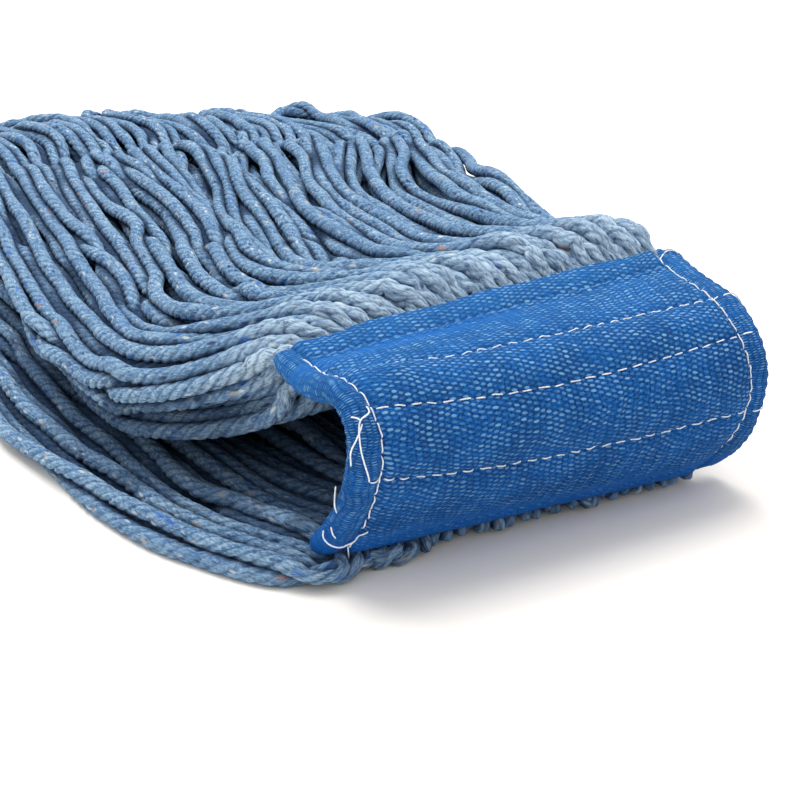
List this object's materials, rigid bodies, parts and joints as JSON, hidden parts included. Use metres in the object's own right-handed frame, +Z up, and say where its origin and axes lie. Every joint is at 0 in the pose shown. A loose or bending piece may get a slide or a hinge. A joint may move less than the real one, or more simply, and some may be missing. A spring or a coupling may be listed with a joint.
{
  "type": "string mop head",
  "caption": "Loop-end string mop head: a hank of blue twisted yarn sewn across a wide mesh headband and folded in half, with a slot for the handle's clamp bar.",
  "frame": {"origin": "on the floor, under the middle of the bounding box", "axes": "+Z up; X along the headband, from its near end to its far end; +Y from the headband to the looped ends of the yarn"},
  "size_m": [0.3652, 0.6102, 0.0878],
  "materials": {
    "mesh_blue": "coarse royal-blue mesh weave",
    "mesh_inside": "the same mesh, seen inside the slot",
    "yarn_blue": "matte grey-blue twisted cotton blend with flecks",
    "yarn_sewn": "the same yarn, sewn flat",
    "thread_white": "white sewing thread"
  },
  "bodies": {
    "lower_yarn": {"lower_yarn_1": "yarn_blue", "lower_yarn_2": "yarn_blue", "lower_yarn_3": "yarn_blue", "lower_yarn_4": "yarn_blue", "lower_yarn_5": "yarn_blue", "lower_yarn_6": "yarn_blue", "lower_yarn_7": "yarn_blue", "lower_yarn_8": "yarn_blue", "lower_tail_band": "thread_white"},
    "headband_lower": {"outer_band_lower": "mesh_blue", "core_yarn_lower": "yarn_sewn", "inner_band_lower": "mesh_inside", "near_end_hem_lower": "mesh_blue", "far_end_hem_lower": "mesh_blue", "lower_edge_hem": "mesh_blue", "stitch_row_4": "thread_white", "stitch_row_5": "thread_white", "near_end_stitch_lower": "thread_white", "far_end_stitch_lower": "thread_white", "loose_thread_lower": "thread_white", "loose_thread_corner": "thread_white"},
    "headband_upper": {"outer_band_upper": "mesh_blue", "core_yarn_upper": "yarn_sewn", "inner_band_upper": "mesh_inside", "near_end_hem_upper": "mesh_blue", "far_end_hem_upper": "mesh_blue", "upper_edge_hem": "mesh_blue", "stitch_row_1": "thread_white", "stitch_row_2": "thread_white", "stitch_row_3": "thread_white", "near_end_stitch_upper": "thread_white", "far_end_stitch_upper": "thread_white", "loose_thread_upper": "thread_white"},
    "upper_yarn": {"upper_yarn_1": "yarn_blue", "upper_yarn_2": "yarn_blue", "upper_yarn_3": "yarn_blue", "upper_yarn_4": "yarn_blue", "upper_yarn_5": "yarn_blue", "upper_yarn_6": "yarn_blue", "upper_yarn_7": "yarn_blue", "upper_yarn_8": "yarn_blue", "upper_tail_band": "thread_white"}
  },
  "joints": [
    {"name": "lower_edge_tip", "type": "hinge", "parent": "lower_yarn", "child": "headband_lower", "pos_m": [-0.05464, -0.27303, 0.00587], "axis": [0.9978, -0.0619, -0.0225], "range_deg": [0, 40]},
    {"name": "headband_fold", "type": "hinge", "parent": "headband_lower", "child": "headband_upper", "pos_m": [-0.05464, -0.30108, 0.05555], "axis": [0.9993, -0.0332, -0.0192], "range_deg": [0, 90]},
    {"name": "upper_yarn_lift", "type": "hinge", "parent": "headband_upper", "child": "upper_yarn", "pos_m": [-0.05464, -0.24613, 0.0812], "axis": [0.9987, -0.0254, 0.0439], "range_deg": [0, 60]}
  ]
}
